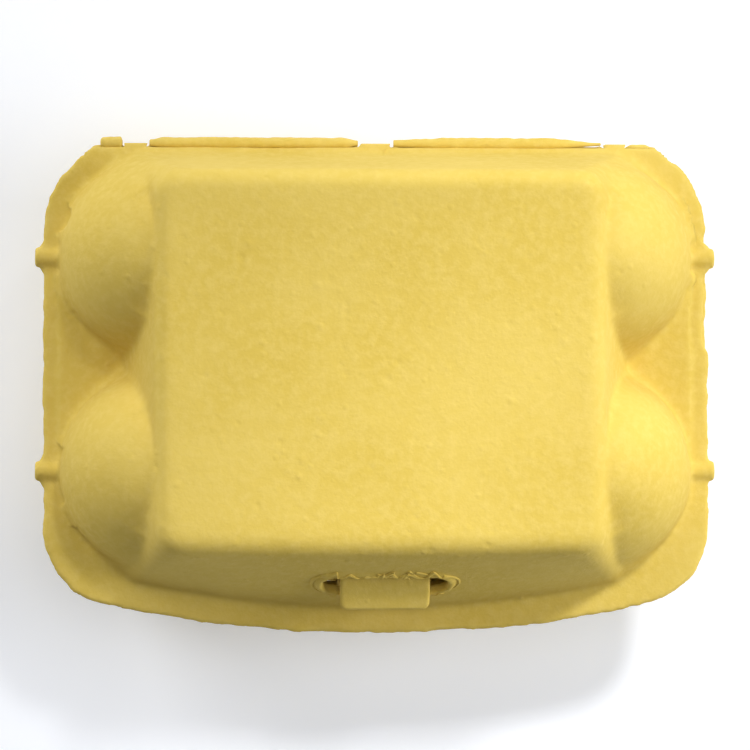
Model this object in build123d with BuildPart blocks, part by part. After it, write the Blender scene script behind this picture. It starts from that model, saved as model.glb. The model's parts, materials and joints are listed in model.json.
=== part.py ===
"""Half-dozen egg carton of moulded pulp: a six-cell tray, a flat-topped lid with four egg domes,
and a locking flap whose nose catches in the lid's front slot.

The carton is one moulding that folds along two creases. Here the tray, the lid, the locking flap, its
nose and the beads along the two creases are separate solids, so that the carton can open.
+X runs along the long side, -Y is the opening front, and +Z is up. The carton stands on z = 0 with
the centre of its footprint at the origin. Sizes are in millimetres.
"""

import os
from math import atan, cos, degrees, radians, sin

from build123d import *

# The pulp
wall = 1.4  # thickness of the moulded sheet
fit_gap = 0.05  # running gap between a crease and the panels that turn about it

# The egg cells: two rows of three
cell_pitch = 48.0
columns = 3
cell_top = 22.6  # half width of a cell's hollow at the rim
cell_foot = 16.6  # half width of a cell's hollow at its floor
cell_corner = 12.0
foot_fillet = 4.0
kick_height = 2.0  # the raised middle of each floor, which keeps an egg's tip off the table
kick_base = 9.0
kick_top = 5.0
rim_height = 38.0
ridge_drop = 14.0  # from the rim down to the top of the ridges between cells
trough_inset = 3.6  # from a cell's wall to the end of the ridge
post_drop = 10.6  # clearance between a post and the lid's top
post_base = 11.0
post_tip = 3.6

# The flange where tray and lid meet
flange_margin = 3.0  # beyond the cells' outer walls at the two ends
flange_corner = 18.5
rear_gap = 0.5  # between the cells' outer walls and the rear crease
flap_ledge = 2.0  # from the cells' outer walls to the locking flap's crease
lip = 10.8  # from the locking flap's crease to the front of the lip
lip_bow = 9.8  # how far the lip curves forward

# The lid. Its box and domes are placed from the middles of the corner cells
lid_rise = 30.0
crown_past_ends = 0.4  # the flat top
crown_past_rows = 17.4
crown_corner = 6.0
crown_fillet = 4.2
body_past_ends = 9.0  # the middle box, where it meets the flange
body_past_rear = 23.6
body_bow = 6.7
body_corner = 4.0
dome_margin = 0.6  # from a cell's hollow to the outside of the egg-shaped cap over it
dome_drop = 0.5  # from the flat top down to the caps' ellipses, which lie dome_sink lower still
dome_sink = 2.0
skirt_radius = 27.5  # the cone around the foot of each cap
skirt_tip = 16.5
skirt_drop = 8.0  # from the flat top down to the cone's top
skirt_offset = 4.8  # from the cap's axis to the cone's
end_margin = 1.0  # beyond the caps, where the long walls' planes are carried on to trim them
end_corner = 15.0
rib_radius = 2.4
rib_past_flange = 1.6

# The rear crease, interrupted by three notches
hinge_spans = [(4.0, 51.0), (57.0, 62.0)]  # each span, from the middle outwards

# The latch: the locking flap's nose, and the slot and bead that it passes through
latch_shift = 1.6  # the latch sits a little to the right
nose_width = 20.0
nose_overhang = 4.3  # how far the nose stands out of the wall
nose_lip = 1.3  # thickness of the tip
nose_fillet = 1.6
nose_fall = 0.2  # how much the nose's top falls from the flap to its shoulder
tip_fall = 0.1  # how much its hollow's floor falls towards the tip
catch_gap = 0.4  # between the nose and the slot's lower edge
roof_gap = 1.05  # between the nose and the slot's upper edge
slot_clear = 4.0  # open width of the slot at each side of the nose
slot_height = 8.4
slot_rise = 14.3  # height of the slot's middle above the rim
bead_width = 1.3
bead_proud = 0.7

# The locking flap
flap_width = 72.0
flap_length = 22.0
flap_corner = 7.0
flap_clear = 0.8  # between its corners and the lid's front wall, at the rim
flap_lag = 2.7  # degrees that it leans less than the wall in front of it
flap_press = 26.0  # degrees that it can be pushed in to free its nose
flap_notch = 8.0  # gap in the middle of its crease
bevel_start = 0.47  # how far below the crease's axis the rim's bevel for the pressed flap begins
side_window = 4.0  # width of the hole in the flap beside the nose
window_sill = 2.4  # height of its lower edge above the rim
rear_window_margin = 2.8  # from the nose's sides to the hole in the flap behind it

# Places worked out from the sizes above, first from the middle line of the cells
corner_x = (columns - 1) / 2 * cell_pitch
corner_y = cell_pitch / 2
row_reach = corner_y + cell_top + wall
hinge_reach = row_reach + rear_gap + 2 * wall
flap_reach = row_reach + flap_ledge
lip_reach = flap_reach + lip
crown_width = 2 * (corner_x + crown_past_ends)
crown_depth = 2 * (corner_y + crown_past_rows)
body_width = 2 * (corner_x + body_past_ends)
bow_at_flap = body_bow * (1 - (flap_width / body_width) ** 2)
body_front = flap_reach + 1.5 * wall + flap_clear - bow_at_flap
body_rear = corner_y + body_past_rear
flange_width = 2 * (corner_x + cell_top + wall + flange_margin)
dome_radius = cell_top + dome_margin
dome_height = lid_rise - dome_drop
skirt_height = lid_rise - skirt_drop
skirt_slope = (skirt_radius - skirt_tip) / skirt_height
skirt_middle = corner_x - skirt_offset
end_width = 2 * (corner_x + dome_radius + end_margin)
wall_slope = (body_front + body_bow - crown_depth / 2) / lid_rise
flap_lean = degrees(atan(wall_slope)) - flap_lag
slot_half_rise = slot_height / 2 * cos(atan(wall_slope))
nose_bottom = slot_rise - slot_half_rise + catch_gap
nose_top = slot_rise + slot_half_rise - roof_gap
nose_reach = body_front + body_bow - wall_slope * nose_bottom + nose_overhang
slot_width = nose_width + 2 * slot_clear

# Then in the carton's frame, with the footprint centred
middle_y = (lip_reach - hinge_reach) / 2
rear_axis_y = middle_y + hinge_reach - wall
flap_axis_y = middle_y - flap_reach
flap_axis_z = rim_height - wall / 2
lid_top = rim_height + lid_rise
ridge_height = rim_height - ridge_drop
post_height = lid_top - wall - post_drop
cell_xs = [(i - (columns - 1) / 2) * cell_pitch for i in range(columns)]
cell_ys = [middle_y + corner_y, middle_y - corner_y]
post_xs = [(a + b) / 2 for a, b in zip(cell_xs, cell_xs[1:])]


def outline(height, width, front, rear, corner, bow=0.0):
    """A level rectangle with rounded corners, whose front edge may bow forward, as a sketch."""
    half = width / 2
    with BuildSketch(Plane.XY.offset(height)) as shape:
        with BuildLine():
            if bow:
                ThreePointArc(
                    (-half, middle_y - front), (0, middle_y - front - bow), (half, middle_y - front)
                )
            else:
                Line((-half, middle_y - front), (half, middle_y - front))
            Polyline(
                (half, middle_y - front),
                (half, middle_y + rear),
                (-half, middle_y + rear),
                (-half, middle_y - front),
            )
        make_face()
        fillet(shape.vertices(), corner)
    return shape.sketch


def lid_box(inset):
    """The lid's middle box, with its faces moved inwards by inset."""
    half_depth = crown_depth / 2 - inset
    foot = outline(
        rim_height,
        body_width - 2 * inset,
        body_front - inset,
        body_rear - inset,
        body_corner - inset / 2,
        body_bow,
    )
    crown = outline(
        lid_top - inset, crown_width - 2 * inset, half_depth, half_depth, crown_corner - inset / 2
    )
    with BuildPart() as box:
        loft([foot, crown], ruled=True)
        fillet(box.edges().group_by(Axis.Z)[-1], crown_fillet - inset)
    return box.part


def lid_ends(inset):
    """The space between the long walls, carried past the box's ends, inset as lid_box is."""
    half_depth = crown_depth / 2 - inset
    foot = outline(
        rim_height,
        end_width - 2 * inset,
        body_front - inset,
        body_rear - inset,
        end_corner - inset,
    )
    crown = outline(
        lid_top - inset, end_width - 2 * inset, half_depth, half_depth, end_corner - inset
    )
    with BuildPart() as ends:
        loft([foot, crown], ruled=True)
    return ends.part


def lid_dome(inset):
    """The egg-shaped cap over a corner egg, centred on the Z axis, inset as lid_box is."""
    with BuildPart() as dome:
        with BuildSketch(Plane.XZ):
            with Locations((0, rim_height - dome_sink)):
                Ellipse(dome_radius - inset, dome_height - inset)
            with Locations((0, rim_height)):
                Rectangle(
                    dome_radius, dome_height, align=(Align.MIN, Align.MIN), mode=Mode.INTERSECT
                )
        revolve(axis=Axis.Z)
    return dome.part


def lid_form(inset):
    """The whole body of the lid above the rim, as one closed solid."""
    box, ends, dome = lid_box(inset), lid_ends(inset), lid_dome(inset)
    with BuildPart() as corners:
        with Locations([(x, y) for x in (cell_xs[0], cell_xs[-1]) for y in cell_ys]):
            add(dome)
        with Locations([(x, y, rim_height) for x in (-skirt_middle, skirt_middle) for y in cell_ys]):
            Cone(
                skirt_radius - inset,
                skirt_tip - inset + skirt_slope * inset,
                skirt_height - inset,
                align=(Align.CENTER, Align.CENTER, Align.MIN),
            )
        add(ends, mode=Mode.INTERSECT)
    with BuildPart() as form:
        add(box)
        add(corners.part)
    return form.part


def crease_spans():
    """The rear crease's spans as (low x, high x), from left to right."""
    return sorted([(-high, -low) for low, high in hinge_spans] + list(hinge_spans))


def flange_plate(bottom):
    """The flange around the carton, wall thick, with room along its rear edge for the crease."""
    rear = rear_axis_y - 2 * fit_gap - middle_y
    shape = outline(bottom, flange_width, lip_reach - lip_bow, rear, flange_corner, lip_bow)
    with BuildPart() as plate:
        add(shape)
        extrude(amount=wall)
        for low, high in crease_spans():
            with Locations(((low + high) / 2, rear_axis_y - wall - fit_gap, bottom)):
                Box(
                    high - low + 4 * fit_gap,
                    hinge_reach,
                    wall,
                    align=(Align.CENTER, Align.MIN, Align.MIN),
                    mode=Mode.SUBTRACT,
                )
    return plate.part


def front_wall_plane():
    """A plane on the lid's front wall, at the middle of the slot, facing outwards."""
    foot_y = middle_y - body_front - body_bow
    origin = (latch_shift, foot_y + wall_slope * slot_rise, rim_height + slot_rise)
    return Plane(origin=origin, x_dir=(1, 0, 0), z_dir=(0, -1, wall_slope))


def make_lid():
    """The lid: domed shell, flange, end ribs, and the front slot with its bead."""
    outer, inner, plate = lid_form(0), lid_form(wall), flange_plate(rim_height)
    wall_plane = front_wall_plane()
    rib_start = corner_x + dome_radius - 2 * wall
    rib_length = flange_width / 2 + rib_past_flange - rib_start
    with BuildPart() as lid:
        add(outer)
        add(plate)
        for side in (-1, 1):
            for y in cell_ys:
                with BuildSketch(Plane.YZ.offset(side * rib_start)):
                    with Locations((y, rim_height)):
                        Circle(rib_radius)
                        Rectangle(
                            2 * rib_radius,
                            rib_radius,
                            align=(Align.CENTER, Align.MAX),
                            mode=Mode.SUBTRACT,
                        )
                extrude(amount=side * rib_length)
        with BuildSketch(wall_plane.offset(-wall)):
            SlotOverall(slot_width + 2 * bead_width, slot_height + 2 * bead_width)
        extrude(amount=wall + bead_proud)
        add(inner, mode=Mode.SUBTRACT)
        for side in (-1, 1):
            for y in cell_ys:
                with BuildSketch(Plane.YZ.offset(side * (rib_start - wall))):
                    with Locations((y, rim_height)):
                        Circle(rib_radius - wall)
                extrude(amount=side * 2 * rib_length, mode=Mode.SUBTRACT)
        with BuildSketch(wall_plane.offset(-3 * wall)):
            SlotOverall(slot_width, slot_height)
        extrude(amount=6 * wall, mode=Mode.SUBTRACT)
    lid.part.label = "lid"
    return lid.part


def cell_width(height, grow=0.0):
    """Full width of a cell at a height, on its inner surface, or its outer one with grow."""
    share = (height - wall + grow) / (rim_height - wall + grow)
    return 2 * (cell_foot + (cell_top - cell_foot) * share + grow)


def cell_form(grow):
    """A cell's hollow, centred on the Z axis, or with grow its outer body, kick-up taken out."""
    floor = wall - grow
    with BuildPart() as cell:
        for height in (floor, rim_height):
            with BuildSketch(Plane.XY.offset(height)):
                width = cell_width(height, grow)
                RectangleRounded(width, width, cell_corner + grow)
        loft(ruled=True)
        fillet(cell.edges().group_by(Axis.Z)[0], foot_fillet)
        with Locations((0, 0, floor)):
            Cone(
                kick_base,
                kick_top,
                kick_height,
                align=(Align.CENTER, Align.CENTER, Align.MIN),
                mode=Mode.SUBTRACT,
            )
    return cell.part


def trough_form(grow):
    """The open space above the ridges, or with grow the body around it."""
    floor = ridge_height - grow
    with BuildPart() as trough:
        for height in (floor, rim_height):
            with BuildSketch(Plane.XY.offset(height)):
                reach = cell_width(height) - 2 * trough_inset + 2 * grow
                with Locations((0, middle_y)):
                    RectangleRounded(
                        (columns - 1) * cell_pitch + reach, cell_pitch + reach, cell_corner + grow
                    )
        loft(ruled=True)
    return trough.part


def all_cells(grow):
    """The six cells and the trough together."""
    cell, trough = cell_form(grow), trough_form(grow)
    with BuildPart() as cells:
        with Locations([(x, y) for x in cell_xs for y in cell_ys]):
            add(cell)
        add(trough)
    return cells.part


def post_form(shrink):
    """A post's cone about the Z axis, from the underside of the ridges up, or its hollow."""
    bottom = ridge_height - wall
    with BuildPart() as post:
        with Locations((0, 0, bottom)):
            Cone(
                post_base - shrink,
                post_tip - shrink,
                post_height - shrink - bottom,
                align=(Align.CENTER, Align.CENTER, Align.MIN),
            )
        fillet(post.edges().group_by(Axis.Z)[-1], (post_tip - shrink) * 0.8)
    return post.part


def make_tray():
    """The tray: six cups joined by ridges, a rim, and two hollow posts that carry the lid's top.

    The rim ends behind the locking flap's crease, bevelled so that the flap can be pushed in.
    """
    body, hollow = all_cells(wall), all_cells(0)
    post, bore = post_form(0), post_form(wall)
    post_places = [(x, middle_y) for x in post_xs]
    crease = wall / 2 + fit_gap
    pressed = radians(flap_lean + flap_press)
    bevel = (crease + wall / 2 * sin(pressed)) / cos(pressed)
    with BuildPart() as space:
        add(hollow)
        with Locations(post_places):
            add(post, mode=Mode.SUBTRACT)
    with BuildPart() as front_cut:
        with BuildSketch(Plane.YZ):
            with BuildLine():
                Polyline(
                    (flap_axis_y + crease, rim_height - 2 * wall),
                    (flap_axis_y + crease, flap_axis_z - bevel_start),
                    (flap_axis_y + bevel, rim_height),
                    (flap_axis_y + bevel, rim_height + wall),
                    (flap_axis_y - lip_reach, rim_height + wall),
                    (flap_axis_y - lip_reach, rim_height - 2 * wall),
                    close=True,
                )
            make_face()
        extrude(amount=flap_width / 2 + wall, both=True)
    with BuildPart() as tray:
        add(flange_plate(rim_height - wall))
        add(front_cut.part, mode=Mode.SUBTRACT)
        add(body)
        with Locations(post_places):
            add(post)
        add(space.part, mode=Mode.SUBTRACT)
        with Locations(post_places):
            add(bore, mode=Mode.SUBTRACT)
    tray.part.label = "tray"
    return tray.part


def make_rear_creases():
    """The rolled beads of pulp along the rear fold, about which the lid turns."""
    names = ["hinge_left_end", "hinge_left", "hinge_right", "hinge_right_end"]
    creases = []
    for name, (low, high) in zip(names, crease_spans()):
        with BuildPart() as crease:
            with BuildSketch(Plane.YZ.offset(low)):
                with Locations((rear_axis_y, rim_height)):
                    Circle(wall)
            extrude(amount=high - low)
        crease.part.label = name
        creases.append(crease.part)
    return creases


def make_flap_creases():
    """The two creases that join the locking flap to the rim."""
    creases = []
    for name, start in (("flap_crease_left", -flap_width / 2), ("flap_crease_right", flap_notch / 2)):
        with BuildPart() as crease:
            with BuildSketch(Plane.YZ.offset(start)):
                with Locations((flap_axis_y, flap_axis_z)):
                    Circle(wall / 2)
            extrude(amount=(flap_width - flap_notch) / 2)
        crease.part.label = name
        creases.append(crease.part)
    return creases


def flap_plane():
    """The flap's middle plane: origin on its crease, x along it, y up the flap, z outwards."""
    lean = radians(flap_lean)
    return Plane(
        origin=(0, flap_axis_y, flap_axis_z), x_dir=(1, 0, 0), z_dir=(0, -cos(lean), sin(lean))
    )


def flap_face_y(height):
    """Where the flap's outer face lies, at a height above the rim."""
    lean = radians(flap_lean)
    along = (height + wall / 2 - wall / 2 * sin(lean)) / cos(lean)
    return flap_axis_y - wall / 2 * cos(lean) + along * sin(lean)


def make_flap():
    """The locking flap: a leaning panel, with holes behind and beside the nose."""
    plane, start = flap_plane(), wall / 2 + fit_gap
    lean = radians(flap_lean)
    hole_low = (nose_bottom + wall) / cos(lean)
    hole_high = (nose_top - wall / 2) / cos(lean)
    with BuildPart() as flap:
        with BuildSketch(plane.offset(-wall / 2)) as panel:
            with Locations((0, start)):
                Rectangle(flap_width, flap_length - start, align=(Align.CENTER, Align.MIN))
            fillet(panel.vertices().group_by(Axis.Z)[-1], flap_corner)
        extrude(amount=wall)
        inner_edges = flap.edges().filter_by(Axis.X).group_by(Axis.Z)[0]
        chamfer(inner_edges.sort_by(Axis.Y)[-1], wall / 2)
        with BuildSketch(plane.offset(-wall)):
            shift = nose_width / 2 + side_window / 2 + catch_gap
            with Locations((latch_shift, hole_low)):
                Rectangle(
                    nose_width - 2 * rear_window_margin,
                    hole_high - hole_low,
                    align=(Align.CENTER, Align.MIN),
                )
            with Locations((latch_shift - shift, window_sill), (latch_shift + shift, window_sill)):
                Rectangle(side_window, hole_high - window_sill, align=(Align.CENTER, Align.MIN))
        extrude(amount=2 * wall, mode=Mode.SUBTRACT)
    flap.part.label = "lock_flap"
    return flap.part


def nose_profile(inset):
    """Points of the nose's side outline as (y, z), with its outer faces moved in by inset."""
    tip_y = middle_y - nose_reach + inset
    shoulder_y = middle_y - nose_reach + 2 * nose_overhang + inset / 2
    bottom, top = nose_bottom + inset, nose_top - inset
    return [
        (flap_face_y(top), rim_height + top),
        (shoulder_y, rim_height + top - nose_fall),
        (tip_y, rim_height + bottom + (nose_lip if not inset else tip_fall)),
        (tip_y, rim_height + bottom),
        (flap_face_y(bottom), rim_height + bottom),
    ]


def make_nose():
    """The hollow nose on the flap, which passes out through the slot and catches its lower edge."""
    with BuildPart() as nose:
        for inset, mode in ((0, Mode.ADD), (wall, Mode.SUBTRACT)):
            with BuildSketch(Plane.YZ.offset(latch_shift)):
                with BuildLine():
                    Polyline(*nose_profile(inset), close=True)
                make_face()
            extrude(amount=nose_width / 2 - inset, both=True, mode=mode)
            if not inset:
                tip = nose.edges().group_by(Axis.Y)[0]
                fillet(tip.filter_by(Axis.Z), nose_fillet)
    nose.part.label = "latch_nose"
    return nose.part


if __name__ == "__main__":
    os.makedirs("parts", exist_ok=True)
    pieces = [make_tray(), make_lid(), *make_rear_creases(), *make_flap_creases()]
    pieces += [make_flap(), make_nose()]
    for piece in pieces:
        export_step(piece, f"parts/{piece.label}.step")
        size = piece.bounding_box().size
        print(f"{piece.label}: {piece.volume:.0f} mm3, {size.X:.1f} x {size.Y:.1f} x {size.Z:.1f}")
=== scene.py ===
"""Looks of a closed half-dozen egg carton of dyed moulded pulp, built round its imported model.

The carton is one moulding of recycled paper pulp: a tray, a lid, a locking flap with a nose, and the
folds between them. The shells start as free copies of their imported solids. Each is rebuilt as an even
skin, softened as wet pulp rounds off over a wire mould, and roughened with the waves, lumps, specks and
ragged edges that pulp dries with. The folds, the slot's lip and the torn fibres are shaped from
primitives. Sizes are in millimetres until they reach Blender, which works in metres.
"""

from __future__ import annotations

import json
import logging
import math
import random
from collections.abc import Callable
from dataclasses import dataclass, field
from enum import Enum

import bpy
import numpy as np
from mathutils import Matrix, Vector, kdtree, noise

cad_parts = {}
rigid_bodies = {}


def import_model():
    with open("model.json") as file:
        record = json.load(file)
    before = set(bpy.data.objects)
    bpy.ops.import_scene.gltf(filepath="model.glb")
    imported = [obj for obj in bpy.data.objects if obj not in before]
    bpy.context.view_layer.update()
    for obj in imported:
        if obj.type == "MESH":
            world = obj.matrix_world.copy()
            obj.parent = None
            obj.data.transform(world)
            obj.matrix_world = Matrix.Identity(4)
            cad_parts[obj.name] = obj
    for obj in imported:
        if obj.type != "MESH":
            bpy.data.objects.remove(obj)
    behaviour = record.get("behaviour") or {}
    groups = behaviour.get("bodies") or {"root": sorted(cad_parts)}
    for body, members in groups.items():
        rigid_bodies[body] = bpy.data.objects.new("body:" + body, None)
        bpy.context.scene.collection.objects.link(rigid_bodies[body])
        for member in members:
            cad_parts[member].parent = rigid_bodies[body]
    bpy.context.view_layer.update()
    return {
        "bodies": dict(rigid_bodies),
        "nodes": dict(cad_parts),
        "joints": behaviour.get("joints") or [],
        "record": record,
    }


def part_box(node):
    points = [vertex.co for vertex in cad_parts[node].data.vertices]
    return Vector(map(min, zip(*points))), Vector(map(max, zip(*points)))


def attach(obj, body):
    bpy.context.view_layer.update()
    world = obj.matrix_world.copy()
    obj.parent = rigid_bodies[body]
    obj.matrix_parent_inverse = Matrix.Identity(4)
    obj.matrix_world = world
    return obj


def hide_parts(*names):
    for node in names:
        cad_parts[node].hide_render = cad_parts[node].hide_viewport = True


log = logging.getLogger("egg_carton")

MM = 0.001
FACE_LIMIT = 190_000

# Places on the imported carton, in metres but for SLOT_PLACE, which is in millimetres.
FRAME_MIDDLE_Y = 4.75 * MM  # between the two rows of cells
HALF_PITCH = 24 * MM  # from there to the middle of a row
TOP_HALF_WIDTH = 47 * MM
TOP_HALF_DEPTH = 38 * MM
FLANGE_WALL = 1.4 * MM
SLOT_HALF_WIDTH = 14.0 * MM
SLOT_HALF_HEIGHT = 4.2 * MM
SLOT_PLACE = (1.6, -44.07, 52.3)
WALL_SLOPE = 0.4723  # how far the front wall leans back for each unit that it rises

# How pulp is shaped, in millimetres.
WELD_MM = 0.002
WAVE_WIDTH_MM = 22.0
LUMP_WIDTH_MM = 4.0
SPECK_RADIUS_MM = (0.65, 1.25)
SPECK_HEIGHT_MM = (0.10, 0.28)
FRAY_REACH_MM = 6.0


# ---------------------------------------------------------------- small helpers


def linear(hex_colour: str) -> tuple[float, float, float, float]:
    """Turns an sRGB hex colour into the linear values that shaders take.

    Args:
        hex_colour: Six hex digits after a hash.

    Returns:
        Linear red, green and blue, and an alpha of 1.
    """
    digits = hex_colour.lstrip("#")
    shares = [int(digits[i : i + 2], 16) / 255 for i in (0, 2, 4)]
    red, green, blue = (s / 12.92 if s <= 0.04045 else ((s + 0.055) / 1.055) ** 2.4 for s in shares)
    return red, green, blue, 1.0


def activate(piece: bpy.types.Object) -> None:
    """Selects only this object and makes it the active one.

    Args:
        piece: The object that the next operators act on.
    """
    bpy.ops.object.select_all(action="DESELECT")
    piece.select_set(True)
    bpy.context.view_layer.objects.active = piece


def new_primitive(name: str) -> bpy.types.Object:
    """Names the primitive that was just added and brings its place into its mesh.

    Args:
        name: The piece's name.

    Returns:
        The object, at the origin, unturned and unscaled.
    """
    piece = bpy.context.active_object
    piece.name = piece.data.name = name
    bpy.ops.object.transform_apply(location=True, rotation=True, scale=True)
    return piece


def read_points(piece: bpy.types.Object) -> np.ndarray:
    """Reads a mesh's points.

    Args:
        piece: A mesh object at the origin.

    Returns:
        One row of x, y and z in metres for each vertex.
    """
    points = np.empty(len(piece.data.vertices) * 3, np.float32)
    piece.data.vertices.foreach_get("co", points)
    return points.reshape(-1, 3).astype(float)


def write_points(piece: bpy.types.Object, points: np.ndarray) -> None:
    """Writes a mesh's points back.

    Args:
        piece: The mesh object.
        points: One row for each vertex, in metres.
    """
    piece.data.vertices.foreach_set("co", points.astype(np.float32).ravel())
    piece.data.update()


def read_normals(piece: bpy.types.Object) -> np.ndarray:
    """Reads a mesh's vertex normals.

    Args:
        piece: A mesh object.

    Returns:
        One unit vector for each vertex.
    """
    normals = np.empty(len(piece.data.vertices) * 3, np.float32)
    piece.data.vertex_normals.foreach_get("vector", normals)
    return normals.reshape(-1, 3).astype(float)


def ease(values: np.ndarray, low: float, high: float) -> np.ndarray:
    """A smooth step from 0 at low to 1 at high.

    Args:
        values: What is measured.
        low: Where the step starts.
        high: Where it ends.

    Returns:
        Shares between 0 and 1.
    """
    share = np.clip((values - low) / (high - low), 0.0, 1.0)
    return share * share * (3 - 2 * share)


def noise_at(points: np.ndarray, size_mm: float, seed: float = 0.0) -> np.ndarray:
    """Smooth noise at each point.

    Args:
        points: One row for each place, in metres.
        size_mm: Width of the noise's lumps.
        seed: Moves the pattern.

    Returns:
        Values of roughly -0.7 to 0.7.
    """
    shift = Vector((seed * 7.3, seed * 3.1, seed * 5.7))
    scale = 1 / (size_mm * MM)
    return np.array([noise.noise(Vector(p) * scale + shift) for p in points])


def apply_modifier(piece: bpy.types.Object, kind: str, **settings: object) -> None:
    """Adds a modifier with its settings and applies it.

    Args:
        piece: The mesh object.
        kind: Blender's name for the modifier.
        **settings: Its properties.
    """
    activate(piece)
    modifier = piece.modifiers.new(kind.lower(), kind)
    for name, value in settings.items():
        setattr(modifier, name, value)
    bpy.ops.object.modifier_apply(modifier=modifier.name)


def smooth_by(piece: bpy.types.Object, rounds: int, group: str = "") -> None:
    """Smooths a mesh, all over or as far as a vertex group says.

    Args:
        piece: The mesh object.
        rounds: How many rounds.
        group: The vertex group's name, or nothing.
    """
    apply_modifier(piece, "SMOOTH", factor=0.5, iterations=rounds, vertex_group=group)


def finder_of(places: object) -> kdtree.KDTree:
    """Builds a search tree that finds the nearest of some places.

    Args:
        places: The places, in order.

    Returns:
        The tree.
    """
    finder = kdtree.KDTree(len(places))
    for index, place in enumerate(places):
        finder.insert(place, index)
    finder.balance()
    return finder


def add_group(piece: bpy.types.Object, name: str, weights: np.ndarray, levels: int = 24) -> str:
    """Stores weights as a vertex group, in even steps.

    Args:
        piece: The mesh object.
        name: The group's name.
        weights: A share for each vertex.
        levels: How many steps they are stored in.

    Returns:
        The group's name.
    """
    group = piece.vertex_groups.new(name=name)
    steps = np.rint(np.clip(weights, 0.0, 1.0) * levels).astype(int)
    for step in range(1, levels + 1):
        members = np.flatnonzero(steps == step)
        if len(members):
            group.add(members.tolist(), step / levels, "REPLACE")
    return name


def add_node(
    tree: bpy.types.NodeTree,
    kind: str,
    settings: dict[str, object] | None = None,
    links: dict[str | int, object] | None = None,
) -> bpy.types.Node:
    """Adds a shader node, sets its properties and sockets, and links its inputs.

    Args:
        tree: The node tree.
        kind: The node's type.
        settings: Properties, by attribute name.
        links: For each input, by name or index, a value or an output socket to link.

    Returns:
        The new node.
    """
    node = tree.nodes.new(kind)
    for name, value in (settings or {}).items():
        setattr(node, name, value)
    for name, value in (links or {}).items():
        if isinstance(value, bpy.types.NodeSocket):
            tree.links.new(value, node.inputs[name])
        else:
            node.inputs[name].default_value = value
    return node


# ---------------------------------------------------------------- finishes


@dataclass(frozen=True)
class MouldedPulp:
    """Dyed moulded pulp: recycled paper fibre drawn onto a wire mould and dried.

    It gives the eye a dead matt yellow, clouded by the dye, with fibre mottling, pits and pale specks.

    Attributes:
        name: The material's name.
        dye: The body colour.
        pale: Where fibres lie thick.
        deep: Where the dye has gathered.
        cloud_mm: Width of the broad patches that the dye leaves.
        fibre_mm: Length of the fibre mottling.
        grain_mm: Width of the surface's grain.
        speck_mm: Spacing of the specks of unbroken fibre.
        relief_mm: Height of the bumps.
        bump: How strongly they tell.
        roughness: Surface roughness.
    """

    name: str = "dyed_moulded_pulp"
    dye: str = "#DABF5E"
    pale: str = "#DFC66C"
    deep: str = "#D4B854"
    cloud_mm: float = 26.0
    fibre_mm: float = 2.0
    grain_mm: float = 0.7
    speck_mm: float = 5.5
    relief_mm: float = 0.16
    bump: float = 0.45
    roughness: float = 0.92

    def build(self) -> bpy.types.Material:
        """Builds the material's nodes.

        Returns:
            The material.
        """
        material = bpy.data.materials.new(self.name)
        material.use_nodes = True
        tree = material.node_tree
        tree.nodes.clear()
        place = add_node(tree, "ShaderNodeTexCoord").outputs["Object"]
        patterns = {}
        for key, size, detail, rough in (
            ("cloud", self.cloud_mm, 2.0, 0.5),
            ("fibre", self.fibre_mm, 4.0, 0.6),
            ("grain", self.grain_mm, 2.0, 0.55),
        ):
            patterns[key] = add_node(
                tree,
                "ShaderNodeTexNoise",
                None,
                {"Vector": place, "Scale": 1 / (size * MM), "Detail": detail, "Roughness": rough},
            ).outputs["Fac"]
        specks = add_node(
            tree,
            "ShaderNodeTexVoronoi",
            {"feature": "F1"},
            {"Vector": place, "Scale": 1 / (self.speck_mm * MM), "Randomness": 1.0},
        ).outputs["Distance"]
        ranged = {}
        for key, source, low, high, start, end in (
            ("cloud", patterns["cloud"], 0.35, 0.65, 0.0, 1.0),
            ("fibre", patterns["fibre"], 0.42, 0.70, 0.0, 0.6),
            ("speck", specks, 0.02, 0.14, 1.0, 0.0),
        ):
            ranged[key] = add_node(
                tree,
                "ShaderNodeMapRange",
                None,
                {"Value": source, "From Min": low, "From Max": high, "To Min": start, "To Max": end},
            ).outputs[0]
        clouded = add_node(
            tree,
            "ShaderNodeMix",
            {"data_type": "RGBA"},
            {0: ranged["cloud"], 6: linear(self.deep), 7: linear(self.dye)},
        ).outputs[2]
        colour = add_node(
            tree,
            "ShaderNodeMix",
            {"data_type": "RGBA"},
            {0: ranged["fibre"], 6: clouded, 7: linear(self.pale)},
        ).outputs[2]
        relief = ranged["speck"]
        for source, share in ((patterns["fibre"], 1.2), (patterns["grain"], 0.7)):
            relief = add_node(
                tree, "ShaderNodeMath", {"operation": "MULTIPLY_ADD"}, {0: source, 1: share, 2: relief}
            ).outputs[0]
        bump = add_node(
            tree,
            "ShaderNodeBump",
            None,
            {"Height": relief, "Strength": self.bump, "Distance": self.relief_mm * MM},
        ).outputs[0]
        shader = add_node(
            tree,
            "ShaderNodeBsdfPrincipled",
            None,
            {
                "Base Color": colour,
                "Roughness": self.roughness,
                "IOR": 1.5,
                "Specular IOR Level": 0.2,
                "Normal": bump,
            },
        ).outputs[0]
        add_node(tree, "ShaderNodeOutputMaterial", None, {"Surface": shader})
        return material


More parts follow.
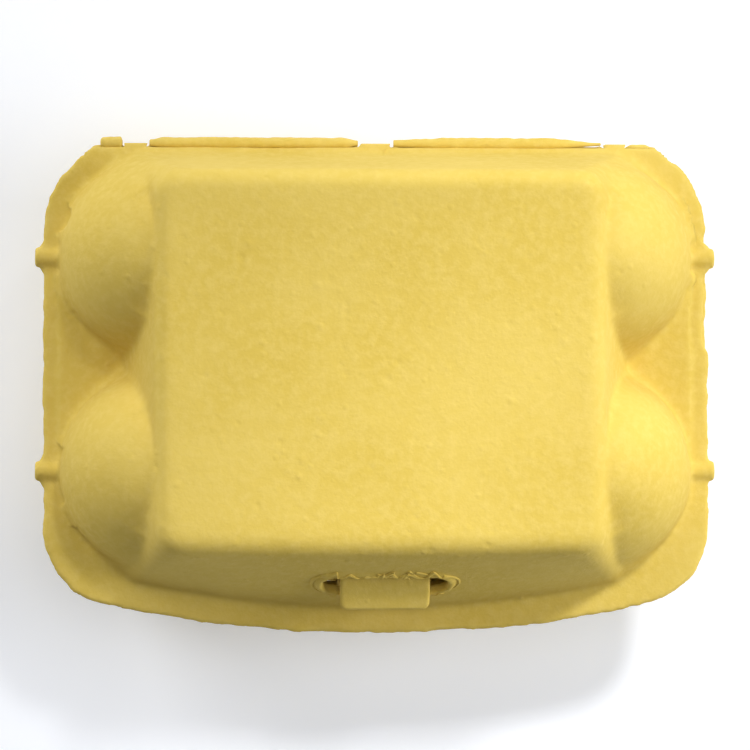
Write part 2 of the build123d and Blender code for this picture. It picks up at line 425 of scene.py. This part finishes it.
@dataclass(frozen=True)
class StudioPaint:
    """Matt white paint: the studio's floor, which glows a little so that it stays pale.

    Attributes:
        name: The material's name.
        colour: Its colour.
        glow: Light that it gives of its own.
    """

    name: str = "matt_white_paint"
    colour: str = "#E9ECF3"
    glow: float = 0.25

    def build(self) -> bpy.types.Material:
        """Builds the material.

        Returns:
            The material.
        """
        material = bpy.data.materials.new(self.name)
        material.use_nodes = True
        shader = material.node_tree.nodes["Principled BSDF"]
        for socket, value in (
            ("Base Color", linear(self.colour)),
            ("Roughness", 0.9),
            ("Emission Color", linear(self.colour)),
            ("Emission Strength", self.glow),
        ):
            shader.inputs[socket].default_value = value
        return material


# ---------------------------------------------------------------- how pulp is shaped


class Edge(Enum):
    """How rough a free edge is: the deepest bite out of it, in millimetres."""

    RAGGED = 0.7


@dataclass
class FreeEdges:
    """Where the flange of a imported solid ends, as points along its upright outer faces.

    Attributes:
        places: One row for each point, in metres.
        outward: The level direction out of the solid there.
        finder: Finds the nearest point.
    """

    places: np.ndarray
    outward: np.ndarray
    finder: kdtree.KDTree

    @classmethod
    def of(cls, piece: bpy.types.Object, low: float, high: float, step_mm: float = 0.8) -> FreeEdges:
        """Finds the upright faces between two heights and samples them.

        Args:
            piece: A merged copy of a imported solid.
            low: Lower height in metres.
            high: Upper height in metres.
            step_mm: Spacing of the samples.

        Returns:
            The edges.
        """
        places, outward = [], []
        mesh = piece.data
        slack = 0.3 * MM
        for face in mesh.polygons:
            corners = [mesh.vertices[i].co for i in face.vertices]
            heights = [c.z for c in corners]
            if abs(face.normal.z) > 0.08 or min(heights) < low - slack or max(heights) > high + slack:
                continue
            for start, end in zip(corners, corners[1:] + corners[:1]):
                count = max(1, math.ceil((end - start).length / (step_mm * MM)))
                for i in range(count):
                    places.append(start.lerp(end, i / count))
                    outward.append(face.normal)
        return cls(np.array(places), np.array(outward), finder_of(places))

    def nearest(self, points: np.ndarray) -> tuple[np.ndarray, np.ndarray]:
        """Finds how far each point is from a free edge, and from which sample.

        Args:
            points: One row for each point, in metres.

        Returns:
            Distances in metres, and indices of samples.
        """
        found = [self.finder.find(p) for p in points]
        return np.array([f[2] for f in found]), np.array([f[1] for f in found])


@dataclass
class PulpSkin:
    """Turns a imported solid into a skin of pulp.

    Attributes:
        voxel_mm: Width of the even mesh that it is rebuilt with.
        soften: Rounds of smoothing away from free edges.
        touch_up: Rounds of smoothing all over.
        wave_mm: Height of the slow waves.
        lump_mm: Height of the lumps.
        specks: How many specks and pits.
        seed: Moves the random places.
    """

    voxel_mm: float
    soften: int
    touch_up: int
    wave_mm: float = 0.4
    lump_mm: float = 0.10
    specks: int = 0
    seed: int = 1

    def copy(self, frame: dict, node: str, name: str) -> bpy.types.Object:
        """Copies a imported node's mesh and joins its loose triangles.

        Args:
            node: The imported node.
            name: The new piece's name.

        Returns:
            A free mesh object.
        """
        piece = bpy.data.objects.new(name, frame["nodes"][node].data.copy())
        bpy.context.scene.collection.objects.link(piece)
        piece.data.name = name
        piece.data.materials.clear()
        activate(piece)
        bpy.ops.object.mode_set(mode="EDIT")
        bpy.ops.mesh.select_all(action="SELECT")
        bpy.ops.mesh.remove_doubles(threshold=WELD_MM * MM)
        bpy.ops.object.mode_set(mode="OBJECT")
        return piece

    def rebuild(self, piece: bpy.types.Object) -> None:
        """Rebuilds the mesh with even faces.

        Args:
            piece: The mesh object.
        """
        apply_modifier(piece, "REMESH", mode="VOXEL", voxel_size=self.voxel_mm * MM)

    def smooth(self, piece: bpy.types.Object, inland: np.ndarray | None = None) -> None:
        """Rounds off creases, as wet pulp does over a mould.

        Args:
            piece: The mesh object.
            inland: How much each point takes part in the strong smoothing.
        """
        if inland is not None:
            group = add_group(piece, "inland", inland)
            smooth_by(piece, self.soften, group)
        smooth_by(piece, self.touch_up)

    def roughen(self, piece: bpy.types.Object) -> None:
        """Adds slow waves and lumps along the normals.

        Args:
            piece: The mesh object.
        """
        for label, size_mm, height_mm in (
            ("waves", WAVE_WIDTH_MM, self.wave_mm),
            ("lumps", LUMP_WIDTH_MM, self.lump_mm),
        ):
            clouds = bpy.data.textures.new(label, "CLOUDS")
            clouds.noise_scale = size_mm * MM
            clouds.noise_depth = 2
            apply_modifier(
                piece,
                "DISPLACE",
                texture=clouds,
                texture_coords="LOCAL",
                strength=height_mm * MM,
                mid_level=0.5,
            )

    def speckle(self, piece: bpy.types.Object, allowed: np.ndarray) -> None:
        """Raises small specks of unbroken fibre and presses pits between them.

        Args:
            piece: The mesh object.
            allowed: True for each point that may be the middle of one.
        """
        points, normals = read_points(piece), read_normals(piece)
        finder = finder_of(points)
        draw = random.Random(self.seed)
        middles = np.flatnonzero(allowed)
        for _ in range(self.specks):
            centre = int(middles[draw.randrange(len(middles))])
            radius = draw.uniform(*SPECK_RADIUS_MM) * MM
            height = draw.choice((1, 1, -1)) * draw.uniform(*SPECK_HEIGHT_MM) * MM
            turn = draw.uniform(0.0, math.pi)
            across = np.array((math.cos(turn), math.sin(turn), 0.0)) * draw.uniform(0.0, 1.4)
            for _, index, _ in finder.find_range(points[centre], radius):
                offset = points[index] - points[centre]
                reach = math.hypot(float(np.linalg.norm(offset)), float(offset @ across)) / radius
                if reach < 1:
                    points[index] += normals[index] * height * (1 - reach * reach) ** 2
        write_points(piece, points)

    def fray(
        self,
        piece: bpy.types.Object,
        edges: FreeEdges,
        edge: Edge,
        rear_push_mm: float,
        trim: Callable[[np.ndarray], np.ndarray] | None = None,
        spared: Callable[[np.ndarray], np.ndarray] | None = None,
    ) -> None:
        """Eats into the free edges unevenly, and closes the rear edge up to the fold's beads.

        Args:
            piece: The mesh object.
            edges: The free edges.
            edge: How rough they are.
            rear_push_mm: How far the rear edge moves out.
            trim: Gives a further inset in metres at each row of places, or None.
            spared: Gives how much of the change each row of points is spared, or None.
        """
        points = read_points(piece)
        distance, nearest = edges.nearest(points)
        reach = FRAY_REACH_MM * MM
        near = np.flatnonzero(distance < reach)
        places, outward = edges.places[nearest[near]], edges.outward[nearest[near]]
        level = places * np.array((1.0, 1.0, 0.0))
        bite = 0.5 + 0.8 * noise_at(level, 9.0, 2) + 0.5 * noise_at(level, 2.6, 4)
        depth = np.clip(bite, 0.0, 1.0) * edge.value * MM
        if trim is not None:
            depth = depth + trim(level)
        rearward = ease(outward[:, 1], 0.8, 0.97)
        depth = depth * (1 - rearward) - rear_push_mm * MM * rearward
        share = 1 - ease(distance[near], 0.0, reach)
        if spared is not None:
            share = share * (1 - spared(points[near]))
        points[near] -= outward * (depth * share)[:, None]
        write_points(piece, points)

    def fit(self, piece: bpy.types.Object, low: Vector, high: Vector) -> None:
        """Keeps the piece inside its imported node's box.

        Args:
            piece: The mesh object.
            low: Lowest corner.
            high: Highest corner.
        """
        write_points(piece, np.clip(read_points(piece), np.array(low), np.array(high)))

    def finish(self, piece: bpy.types.Object, material: bpy.types.Material) -> bpy.types.Object:
        """Thins the mesh to the face limit, shades it smooth and gives it its material.

        Args:
            piece: The mesh object.
            material: The pulp.

        Returns:
            The same object.
        """
        triangles = sum(len(p.vertices) - 2 for p in piece.data.polygons)
        if triangles > FACE_LIMIT:
            apply_modifier(piece, "TRIANGULATE")
            apply_modifier(piece, "DECIMATE", ratio=FACE_LIMIT / triangles)
        piece.vertex_groups.clear()
        return dress(piece, material)


def dress(piece: bpy.types.Object, material: bpy.types.Material) -> bpy.types.Object:
    """Shades a finished piece smooth and gives it its material.

    Args:
        piece: The mesh object.
        material: Its material.

    Returns:
        The same object.
    """
    activate(piece)
    bpy.ops.object.shade_smooth()
    piece.data.materials.clear()
    piece.data.materials.append(material)
    log.info("%s: %d faces", piece.name, len(piece.data.polygons))
    return piece


# ---------------------------------------------------------------- the carton's pieces


@dataclass
class LidShell:
    """The lid: flat top, domes over the corner eggs, flange and end ribs, with its slot.

    Attributes:
        dish_mm: How far the flat top sags in its middle.
        step_mm: Height of the fine step in the flange between the domes.
        dome_rounds: Extra rounds of smoothing on the domes.
        brow_rounds: The same along the flat top's front edge.
        skin: How its pulp is shaped.
    """

    dish_mm: float = 1.3
    step_mm: float = 0.45
    dome_rounds: int = 45
    brow_rounds: int = 60
    skin: PulpSkin = field(
        default_factory=lambda: PulpSkin(voxel_mm=0.6, soften=12, touch_up=2, specks=330, seed=11)
    )

    def at_ribs(self, points: np.ndarray) -> np.ndarray:
        """How much each point belongs to one of the four end ribs.

        Args:
            points: One row for each point, in metres.

        Returns:
            Shares between 0 and 1.
        """
        across = np.abs(np.abs(points[:, 1] - FRAME_MIDDLE_Y) - HALF_PITCH)
        return ease(np.abs(points[:, 0]), 69.5 * MM, 71 * MM) * (1 - ease(across, 2.8 * MM, 4.2 * MM))

    def round_more(self, piece: bpy.types.Object, low: Vector, high: Vector) -> None:
        """Smooths the domes and the flat top's front edge once more.

        Args:
            piece: The shell.
            low: The lowest corner of its box.
            high: The highest corner.
        """
        points = read_points(piece)
        domes = ease(np.abs(points[:, 0]), 55 * MM, 58 * MM) * ease(
            points[:, 2], low.z + 3.5 * MM, low.z + 6 * MM
        )
        brow = ease(points[:, 1], -27 * MM, -31 * MM) * ease(
            points[:, 2], high.z - 9 * MM, high.z - 5 * MM
        )
        for name, weights, rounds in (
            ("domes", domes, self.dome_rounds),
            ("brow", brow, self.brow_rounds),
        ):
            group = add_group(piece, name, weights)
            smooth_by(piece, rounds, group)

    def step_ends(self, piece: bpy.types.Object, low: Vector) -> None:
        """Raises the flange a little inside its two ends, where the mould has a fine step.

        Args:
            piece: The shell.
            low: The lowest corner of its box.
        """
        points = read_points(piece)
        inside = 1 - ease(np.abs(points[:, 0]), 70.9 * MM, 71.6 * MM)
        between = 1 - ease(np.abs(points[:, 1] - FRAME_MIDDLE_Y), 15 * MM, 22 * MM)
        level = 1 - ease(points[:, 2], low.z + 2 * MM, low.z + 4 * MM)
        beyond = ease(np.abs(points[:, 0]), 58 * MM, 62 * MM)
        points[:, 2] += self.step_mm * MM * inside * between * level * beyond
        write_points(piece, points)

    def side_trim(self, places: np.ndarray) -> np.ndarray:
        """Insets the right end's rear half a little, where the real edge was trimmed closer.

        Args:
            places: One row for each point of the edge, in metres.

        Returns:
            Insets in metres.
        """
        right = ease(places[:, 0], 60 * MM, 72 * MM)
        rear = ease(places[:, 1], 6 * MM, 11 * MM)
        return right * (rear * 1.3 - 0.55) * MM

    def build(self, frame: dict, pulp: bpy.types.Material, slot_middle: Vector) -> bpy.types.Object:
        """Builds the shell.

        Args:
            pulp: The material.
            slot_middle: The middle of the slot.

        Returns:
            The piece.
        """
        skin = self.skin
        low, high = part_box("lid")
        piece = skin.copy(frame, "lid", "lid_shell")
        edges = FreeEdges.of(piece, low.z, low.z + FLANGE_WALL)
        skin.rebuild(piece)
        points = read_points(piece)
        distance, _ = edges.nearest(points)
        slot_size = np.array((SLOT_HALF_WIDTH, SLOT_HALF_HEIGHT, SLOT_HALF_HEIGHT))
        from_slot = np.linalg.norm((points - np.array(slot_middle)) / slot_size, axis=1)
        inland = ease(distance, 0.7 * MM, 3.0 * MM) * ease(from_slot, 1.2, 1.8)
        inland *= 1 - self.at_ribs(points)
        skin.smooth(piece, inland)
        self.round_more(piece, low, high)
        self.dish(piece, high)
        self.step_ends(piece, low)
        skin.roughen(piece)
        allowed = read_points(piece)[:, 2] > high.z - 5 * MM
        skin.speckle(piece, allowed)
        skin.fray(piece, edges, Edge.RAGGED, 0.55, self.side_trim, self.at_ribs)
        skin.fit(piece, low, high)
        skin.finish(piece, pulp)
        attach(piece, "lid_body")
        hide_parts("lid")
        return piece

    def dish(self, piece: bpy.types.Object, high: Vector) -> None:
        """Lets the flat top sag, as the sheet does while it dries.

        Args:
            piece: The shell.
            high: The highest corner of its box.
        """
        points = read_points(piece)
        across = np.clip(np.abs(points[:, 0]) / TOP_HALF_WIDTH, 0, 1)
        along = np.clip(np.abs(points[:, 1] - FRAME_MIDDLE_Y) / TOP_HALF_DEPTH, 0, 1)
        top = ease(points[:, 2], high.z - 4 * MM, high.z - 1.2 * MM)
        points[:, 2] -= self.dish_mm * MM * (1 - across**2) * (1 - along**2) * top
        write_points(piece, points)


@dataclass
class TrayShell:
    """The tray: six cups, the ridges and hollow posts between them, and the rim.

    Attributes:
        skin: How its pulp is shaped.
    """

    skin: PulpSkin = field(
        default_factory=lambda: PulpSkin(voxel_mm=0.75, soften=16, touch_up=2, specks=300, seed=23)
    )

    def build(self, frame: dict, pulp: bpy.types.Material) -> bpy.types.Object:
        """Builds the shell.

        Args:
            pulp: The material.

        Returns:
            The piece.
        """
        skin = self.skin
        low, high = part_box("tray")
        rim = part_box("lid")[0].z
        piece = skin.copy(frame, "tray", "tray_shell")
        edges = FreeEdges.of(piece, rim - FLANGE_WALL, rim)
        skin.rebuild(piece)
        distance, _ = edges.nearest(read_points(piece))
        skin.smooth(piece, ease(distance, 0.8 * MM, 3.2 * MM))
        skin.roughen(piece)
        skin.speckle(piece, read_points(piece)[:, 2] < rim - 3 * MM)
        skin.fray(piece, edges, Edge.RAGGED, 1.0)
        skin.fit(piece, low, high)
        skin.finish(piece, pulp)
        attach(piece, "tray_body")
        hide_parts("tray")
        return piece


@dataclass
class FoldBead:
    """A rolled bead of pulp along a fold, lumpy and tapered.

    Attributes:
        node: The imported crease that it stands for.
        name: The piece's name.
        body: The body that it rides on.
        left_taper: How thin its left end is, as a share of its girth.
        right_taper: The same for its right end.
        taper_share: How much of its length each taper takes.
        girth: Its thickness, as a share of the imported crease's; a thinner one keeps to the front.
        seed: Moves its lumps.
    """

    node: str
    name: str
    body: str
    left_taper: float = 0.55
    right_taper: float = 0.55
    taper_share: float = 0.08
    girth: float = 1.0
    seed: int = 1

    def build(self, pulp: bpy.types.Material) -> bpy.types.Object:
        """Builds the bead.

        Args:
            pulp: The material.

        Returns:
            The piece.
        """
        low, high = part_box(self.node)
        middle, size = (low + high) / 2, high - low
        bpy.ops.object.select_all(action="DESELECT")
        bpy.ops.mesh.primitive_cylinder_add(
            vertices=20,
            radius=size.y / 2,
            depth=size.x,
            location=middle,
            rotation=(0, math.pi / 2, 0),
        )
        piece = new_primitive(self.name)
        apply_modifier(piece, "REMESH", mode="VOXEL", voxel_size=size.y / 9)
        self.shape(piece, middle, size)
        smooth_by(piece, 3)
        write_points(piece, np.clip(read_points(piece), np.array(low), np.array(high)))
        dress(piece, pulp)
        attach(piece, self.body)
        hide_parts(self.node)
        return piece

    def shape(self, piece: bpy.types.Object, middle: Vector, size: Vector) -> None:
        """Tapers the bead's ends and makes its girth uneven.

        Args:
            piece: The bead.
            middle: Its middle.
            size: Its box.
        """
        points = read_points(piece)
        along = (points[:, 0] - middle.x) / size.x + 0.5
        girth = np.minimum(
            self.left_taper + (1 - self.left_taper) * ease(along, 0.0, self.taper_share),
            self.right_taper + (1 - self.right_taper) * (1 - ease(along, 1 - self.taper_share, 1.0)),
        )
        line = points * np.array((1.0, 0.0, 0.0))
        girth *= self.girth * (1.0 + 0.08 * noise_at(line, 5.0, self.seed))
        lumps = 1 + 0.14 * noise_at(points, 1.6, self.seed)
        for axis in (1, 2):
            points[:, axis] = middle[axis] + (points[:, axis] - middle[axis]) * girth * lumps
        points[:, 1] -= (1 - self.girth) * size.y / 2
        write_points(piece, points)


@dataclass
class Folds:
    """The beads along the rear fold, and the two creases that the locking flap turns on."""

    beads: list[FoldBead] = field(
        default_factory=lambda: [
            FoldBead("hinge_left_end", "rear_fold_left_end", "tray_body", seed=3),
            FoldBead("hinge_left", "rear_fold_left", "tray_body", 0.6, 0.5, seed=5),
            FoldBead("hinge_right", "rear_fold_right", "tray_body", 0.6, 0.25, 0.28, seed=7),
            FoldBead("hinge_right_end", "rear_fold_right_end", "tray_body", 0.5, 0.4, 0.2, 0.5, seed=9),
            FoldBead("flap_crease_left", "flap_fold_left", "tray_body", 0.7, 0.6, seed=13),
            FoldBead("flap_crease_right", "flap_fold_right", "tray_body", 0.6, 0.7, seed=17),
        ]
    )

    def build(self, pulp: bpy.types.Material) -> list[bpy.types.Object]:
        """Builds every bead.

        Args:
            pulp: The material.

        Returns:
            The pieces.
        """
        return [bead.build(pulp) for bead in self.beads]


@dataclass
class LockingFlap:
    """The locking flap behind the lid's front wall, and the hollow nose on it.

    Attributes:
        panel_skin: How the panel's pulp is shaped.
        nose_skin: How the nose's pulp is shaped.
    """

    panel_skin: PulpSkin = field(
        default_factory=lambda: PulpSkin(voxel_mm=0.4, soften=0, touch_up=5, wave_mm=0.3, seed=31)
    )
    nose_skin: PulpSkin = field(
        default_factory=lambda: PulpSkin(voxel_mm=0.3, soften=0, touch_up=24, wave_mm=0.3, seed=37)
    )

    def build(self, frame: dict, pulp: bpy.types.Material) -> list[bpy.types.Object]:
        """Builds the panel and the nose.

        Args:
            pulp: The material.

        Returns:
            The two pieces.
        """
        pieces = []
        for node, name, skin in (
            ("lock_flap", "locking_flap", self.panel_skin),
            ("latch_nose", "flap_nose", self.nose_skin),
        ):
            piece = skin.copy(frame, node, name)
            skin.rebuild(piece)
            skin.smooth(piece)
            skin.roughen(piece)
            skin.fit(piece, *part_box(node))
            skin.finish(piece, pulp)
            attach(piece, "flap_body")
            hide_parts(node)
            pieces.append(piece)
        return pieces


@dataclass
class SlotTrim:
    """The uneven rolled lip round the lid's slot, and the fibres torn along its upper edge.

    Attributes:
        middle: The slot's middle, on the wall's outer face.
        slope: How far the wall leans back for each unit that it rises.
        half_width_mm: Half the width inside the lip.
        half_height_mm: Half the height inside it.
        lip_mm: Thickness of the lip.
        fibres: How many torn fibres there are.
        fibre_mm: Length of the largest.
        root_mm: Its radius at its root.
        tip_mm: Its radius at its tip.
        bend_mm: How far it bends.
        seed: Moves the fibres.
    """

    middle: Vector
    slope: float
    half_width_mm: float = 16.0
    half_height_mm: float = 5.2
    lip_mm: float = 0.8
    fibres: int = 13
    fibre_mm: float = 3.2
    root_mm: float = 0.5
    tip_mm: float = 0.22
    bend_mm: float = 0.5
    seed: int = 5

    def place(self) -> Matrix:
        """The slot's own frame: x along the slot, y up the wall, z out of it."""
        out = Vector((0, -1, self.slope)).normalized()
        along = Vector((1, 0, 0))
        turn = Matrix((along, out.cross(along), out)).transposed().to_4x4()
        return Matrix.Translation(self.middle) @ turn

    def build(self, pulp: bpy.types.Material, lid: bpy.types.Object) -> list[bpy.types.Object]:
        """Builds the lip and the fibres.

        Args:
            pulp: The material.
            lid: The lid's shell, whose surface they lie on.

        Returns:
            The two pieces.
        """
        pieces = [self.make_lip(), self.make_fibres()]
        for piece in pieces:
            self.settle(piece, lid)
            dress(piece, pulp)
            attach(piece, "lid_body")
        return pieces

    def settle(self, piece: bpy.types.Object, lid: bpy.types.Object) -> None:
        """Moves each part of a piece in or out of the wall, to lie on the lid as it was shaped.

        Args:
            piece: The piece.
            lid: The lid's shell.
        """
        reach = 6 * MM
        place = self.place()
        inverse = place.inverted()
        inward = -(place.col[2].to_3d())
        local = np.array([tuple(inverse @ Vector(p)) for p in read_points(piece)])
        around = np.hypot(
            local[:, 0] / (self.half_width_mm * MM), local[:, 1] / (self.half_height_mm * MM)
        )
        outside = local[:, :2] * np.maximum(1.0, 1.0 / np.maximum(around, 1e-6))[:, None]
        for number, (along, up) in enumerate(outside):
            start = place @ Vector((along, up, reach))
            hit, where, _, _ = lid.ray_cast(start, inward, distance=2 * reach)
            if hit:
                local[number, 2] += (inverse @ where).z
        write_points(piece, np.array([tuple(place @ Vector(p)) for p in local]))

    def make_lip(self) -> bpy.types.Object:
        """Makes the lip: a ring stretched to the slot's outline, made uneven.

        The unevenness is taken about the slot's middle line and not about the lip's own, so it also
        widens and narrows the ring's long runs and leaves them jagged.

        Returns:
            The object.
        """
        bpy.ops.object.select_all(action="DESELECT")
        bpy.ops.mesh.primitive_torus_add(
            major_segments=96,
            minor_segments=12,
            major_radius=(self.half_height_mm + self.lip_mm / 2) * MM,
            minor_radius=self.lip_mm / 2 * MM,
        )
        piece = new_primitive("slot_lip")
        stretch = (self.half_width_mm - self.half_height_mm) * MM
        points = read_points(piece)
        points[:, 0] += np.sign(np.round(points[:, 0], 7)) * stretch
        write_points(piece, points)
        apply_modifier(piece, "REMESH", mode="VOXEL", voxel_size=0.22 * MM)
        points = read_points(piece)
        core = points.copy()
        core[:, 0] = np.clip(points[:, 0], -stretch, stretch)
        core[:, 2] = 0
        spoke = points - core
        spoke[:, 2] = 0
        spoke /= np.maximum(np.linalg.norm(spoke, axis=1), 1e-9)[:, None]
        core = core * np.array((1, 0, 0)) + spoke * (self.half_height_mm + self.lip_mm / 2) * MM
        girth = 0.85 + 0.5 * noise_at(core, 4.0, 3) + 0.14 * noise_at(points, 1.2, 5)
        sway = (noise_at(core, 5.0, 8) * 0.5 * MM)[:, None]
        points = core + (points - core) * girth[:, None] + spoke * sway
        write_points(piece, points)
        smooth_by(piece, 3)
        piece.data.transform(self.place())
        return piece

    def make_fibres(self) -> bpy.types.Object:
        """Makes the torn fibres: one tapered, bent wisp, copied at many sizes and joined.

        Returns:
            The object.
        """
        draw = random.Random(self.seed)
        bpy.ops.object.select_all(action="DESELECT")
        bpy.ops.mesh.primitive_cone_add(
            vertices=7, radius1=self.root_mm * MM, radius2=self.tip_mm * MM, depth=self.fibre_mm * MM
        )
        wisp = new_primitive("slot_fibres")
        bpy.ops.object.mode_set(mode="EDIT")
        bpy.ops.mesh.select_all(action="SELECT")
        bpy.ops.mesh.subdivide(number_cuts=3)
        bpy.ops.object.mode_set(mode="OBJECT")
        points = read_points(wisp)
        points[:, 0] += self.bend_mm * MM * np.sin(points[:, 2] / (self.fibre_mm / 2 * MM))
        write_points(wisp, points)
        copies = [wisp]
        for _ in range(self.fibres - 1):
            copy = bpy.data.objects.new("wisp", wisp.data.copy())
            bpy.context.scene.collection.objects.link(copy)
            copies.append(copy)
        place = self.place()
        for copy in copies:
            along = draw.uniform(-1.0, 8.0)
            up = self.half_height_mm + draw.uniform(-0.6, 1.0)
            lean = draw.uniform(-1.2, 1.2) + math.pi / 2
            size = draw.uniform(0.45, 0.85)
            local = (
                Matrix.Translation((along * MM, up * MM, draw.uniform(-0.2, 0.25) * MM))
                @ Matrix.Rotation(lean, 4, "Z")
                @ Matrix.Rotation(math.radians(draw.uniform(78, 90)), 4, "X")
                @ Matrix.Scale(size, 4)
            )
            copy.data.transform(place @ local)
        activate(wisp)
        for copy in copies:
            copy.select_set(True)
        bpy.ops.object.join()
        apply_modifier(wisp, "REMESH", mode="VOXEL", voxel_size=0.2 * MM)
        smooth_by(wisp, 3)
        return wisp


def hang_lamp(name: str, light: bpy.types.Light, target: Vector, way: Vector) -> None:
    """Hangs a lamp some way out from a point, facing it.

    Args:
        name: The lamp's name.
        light: What it shines with.
        target: The point, in metres.
        way: From the point to the lamp.
    """
    lamp = bpy.data.objects.new(name, light)
    lamp.location = target + way
    lamp.rotation_mode = "QUATERNION"
    lamp.rotation_quaternion = way.to_track_quat("Z", "Y")
    bpy.context.scene.collection.objects.link(lamp)


def way_to(azimuth: float, elevation: float) -> Vector:
    """The unit vector towards a place in the studio.

    Args:
        azimuth: Degrees from the right towards the rear.
        elevation: Degrees above the floor.

    Returns:
        The vector.
    """
    turn, rise = math.radians(azimuth), math.radians(elevation)
    return Vector((math.cos(turn) * math.cos(rise), math.sin(turn) * math.cos(rise), math.sin(rise)))


@dataclass
class Studio:
    """A pale floor, softboxes and spots that light mostly from the right, and a camera overhead.

    Attributes:
        aim_mm: The point that the camera looks at.
        distance_mm: How far the camera is from it.
        elevation: The camera's height above the horizon, in degrees.
        sideways_mm: How far the camera stands to the right of the aim.
        lens: Its focal length for a 36 mm sensor.
        boxes: For each softbox its name, degrees from the right towards the rear, degrees above the
            floor, and watts.
        box_size: Width of a softbox in metres.
        spots: For each soft spotlight its name, the point in millimetres that it lights, and watts.
        spot_way: Degrees from the right towards the rear, and above the floor, where the spots hang.
        spot_distance: How far they are from what they light, in metres.
        spot_angle: Width of their beams in degrees.
        sky: Strength of the light from all round.
        backdrop: How bright the sky is where the camera sees it.
    """

    aim_mm: tuple[float, float, float] = (-0.13, 2.4, 38.0)
    distance_mm: float = 783.0
    elevation: float = 88.7
    sideways_mm: float = -29.0
    lens: float = 166.8
    boxes: tuple[tuple[str, float, float, float], ...] = (
        ("softbox_right", 0.0, 28.0, 6.6),
        ("softbox_rear_right", 45.0, 28.0, 0.5),
        ("softbox_rear", 90.0, 28.0, 2.4),
        ("softbox_rear_left", 135.0, 28.0, 4.3),
        ("softbox_left", 180.0, 28.0, 1.3),
        ("softbox_top", 0.0, 90.0, 1.5),
    )
    box_size: float = 0.5
    spots: tuple[tuple[str, tuple[float, float, float], float], ...] = (
        ("spot_front_right", (40.0, -48.0, 60.0), 33.0),
        ("spot_right_side", (70.0, -25.0, 40.0), 12.0),
    )
    spot_way: tuple[float, float] = (65.0, 52.0)
    spot_distance: float = 0.8
    spot_angle: float = 12
    sky: float = 0.04
    backdrop: float = 0.92

    def build(self) -> None:
        """Builds the floor, the lights and the camera."""
        self.make_floor()
        for box in self.boxes:
            self.make_softbox(*box)
        for spot in self.spots:
            self.make_spot(*spot)
        self.make_sky()
        self.make_camera()
        bpy.context.scene.view_settings.view_transform = "Standard"

    def make_floor(self) -> None:
        """Makes a wide, level floor."""
        bpy.ops.object.select_all(action="DESELECT")
        bpy.ops.mesh.primitive_plane_add(size=6.0, location=(0, 0, 0))
        floor = new_primitive("studio_floor")
        floor.data.materials.append(StudioPaint().build())

    def make_softbox(self, name: str, azimuth: float, elevation: float, watts: float) -> None:
        """Makes a round softbox a metre away that faces the carton.

        Args:
            name: Its name.
            azimuth: Where it stands, in degrees from the right towards the rear.
            elevation: Its height, in degrees above the floor.
            watts: Its power.
        """
        light = bpy.data.lights.new(name, "AREA")
        light.shape, light.size, light.energy = "DISK", self.box_size, watts
        hang_lamp(name, light, Vector(), way_to(azimuth, elevation))

    def make_spot(self, name: str, aim_mm: tuple[float, float, float], watts: float) -> None:
        """Makes a narrow, soft-edged spotlight high behind the carton on the right.

        Args:
            name: Its name.
            aim_mm: The point that it lights.
            watts: Its power.
        """
        way = way_to(*self.spot_way) * self.spot_distance
        light = bpy.data.lights.new(name, "SPOT")
        light.spot_size, light.spot_blend = math.radians(self.spot_angle), 1.0
        light.energy, light.shadow_soft_size = watts, 0.1
        hang_lamp(name, light, Vector(aim_mm) * MM, way)

    def make_sky(self) -> None:
        """Makes the even light from all round; the camera sees it paler than the object does."""
        world = bpy.data.worlds.new("studio_sky")
        bpy.context.scene.world = world
        world.use_nodes = True
        tree = world.node_tree
        tree.nodes.clear()
        seen = add_node(tree, "ShaderNodeLightPath").outputs["Is Camera Ray"]
        strength = add_node(
            tree, "ShaderNodeMapRange", None, {"Value": seen, "To Min": self.sky, "To Max": self.backdrop}
        ).outputs[0]
        light = add_node(
            tree, "ShaderNodeBackground", None, {"Color": linear("#FFFFFF"), "Strength": strength}
        ).outputs[0]
        add_node(tree, "ShaderNodeOutputWorld", None, {"Surface": light})

    def make_camera(self) -> None:
        """Makes the camera, with the carton's long side level in its view."""
        aim = Vector(self.aim_mm) * MM
        rise = math.radians(self.elevation)
        place = aim + Vector((0, -math.cos(rise), math.sin(rise))) * self.distance_mm * MM
        place.x += self.sideways_mm * MM
        back = (place - aim).normalized()
        right = Vector((0, 1, 0)).cross(back).normalized()
        turn = Matrix((right, back.cross(right), back)).transposed()
        lens = bpy.data.cameras.new("overhead_camera")
        lens.lens, lens.sensor_width = self.lens, 36.0
        lens.clip_start, lens.clip_end = 0.01, 20.0
        camera = bpy.data.objects.new("overhead_camera", lens)
        camera.matrix_world = Matrix.Translation(place) @ turn.to_4x4()
        bpy.context.scene.collection.objects.link(camera)
        bpy.context.scene.camera = camera


def main() -> None:
    """Builds the carton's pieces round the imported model, and the studio."""
    logging.basicConfig(level=logging.INFO, format="%(message)s")
    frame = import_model()
    bpy.ops.object.select_all(action="DESELECT")
    pulp = MouldedPulp().build()
    slot_middle = Vector(SLOT_PLACE) * MM
    lid = LidShell().build(frame, pulp, slot_middle)
    TrayShell().build(frame, pulp)
    Folds().build(pulp)
    LockingFlap().build(frame, pulp)
    SlotTrim(slot_middle, WALL_SLOPE).build(pulp, lid)
    Studio().build()


if __name__ == "__main__":
    main()
